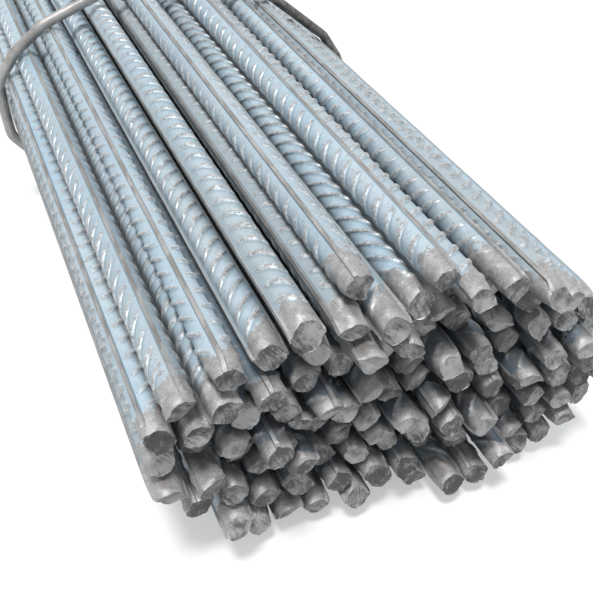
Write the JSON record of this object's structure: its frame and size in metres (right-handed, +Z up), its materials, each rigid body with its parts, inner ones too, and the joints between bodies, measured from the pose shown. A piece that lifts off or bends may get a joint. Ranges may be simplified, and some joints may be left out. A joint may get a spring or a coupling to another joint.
{
  "type": "rebar bundle",
  "caption": "Long tied bundle of ribbed steel reinforcing bars with sheared, staggered ends, held by twisted wire-rod ties.",
  "frame": {"origin": "middle of the underside of the whole bundle, at floor level", "axes": "+Z up, +Y along the bars from the sheared, staggered near ends to the far ends, +X to the right as seen from the near ends"},
  "size_m": [0.2964, 6.0392, 0.188],
  "materials": {
    "bar_steel": "hot-rolled, pale blue-grey mill scale, rubbed to bare steel on the ribs and sheared ends",
    "tie_wire": "hot-rolled wire rod, light grey, scuffed"
  },
  "bodies": {
    "root": {"bottom_bar_1": "bar_steel", "bottom_bar_2": "bar_steel", "bottom_bar_3": "bar_steel", "bottom_bar_4": "bar_steel", "bottom_bar_5": "bar_steel", "bottom_bar_6": "bar_steel", "bottom_bar_7": "bar_steel", "inner_bars_layer_1": "bar_steel", "inner_bars_layer_2": "bar_steel", "inner_bars_layer_3": "bar_steel", "inner_bars_layer_4": "bar_steel", "inner_bars_layer_5": "bar_steel", "inner_bars_layer_6": "bar_steel", "inner_bars_layer_7": "bar_steel", "inner_bars_layer_8": "bar_steel", "left_bar_1": "bar_steel", "left_bar_2": "bar_steel", "left_bar_3": "bar_steel", "left_bar_4": "bar_steel", "left_bar_5": "bar_steel", "left_bar_6": "bar_steel", "left_bar_7": "bar_steel", "left_bar_8": "bar_steel", "left_bar_9": "bar_steel", "left_bar_10": "bar_steel", "right_bar_1": "bar_steel", "right_bar_2": "bar_steel", "right_bar_3": "bar_steel", "right_bar_4": "bar_steel", "right_bar_5": "bar_steel", "right_bar_6": "bar_steel", "right_bar_7": "bar_steel", "right_bar_8": "bar_steel", "right_bar_9": "bar_steel", "right_bar_10": "bar_steel", "top_bar_1": "bar_steel", "top_bar_2": "bar_steel", "top_bar_3": "bar_steel", "top_bar_4": "bar_steel", "top_bar_5": "bar_steel", "top_bar_6": "bar_steel", "top_bar_7": "bar_steel", "top_bar_8": "bar_steel", "top_bar_9": "bar_steel", "wire_tie_1": "tie_wire", "wire_tie_2": "tie_wire", "wire_tie_3": "tie_wire", "wire_tie_4": "tie_wire"}
  },
  "joints": []
}
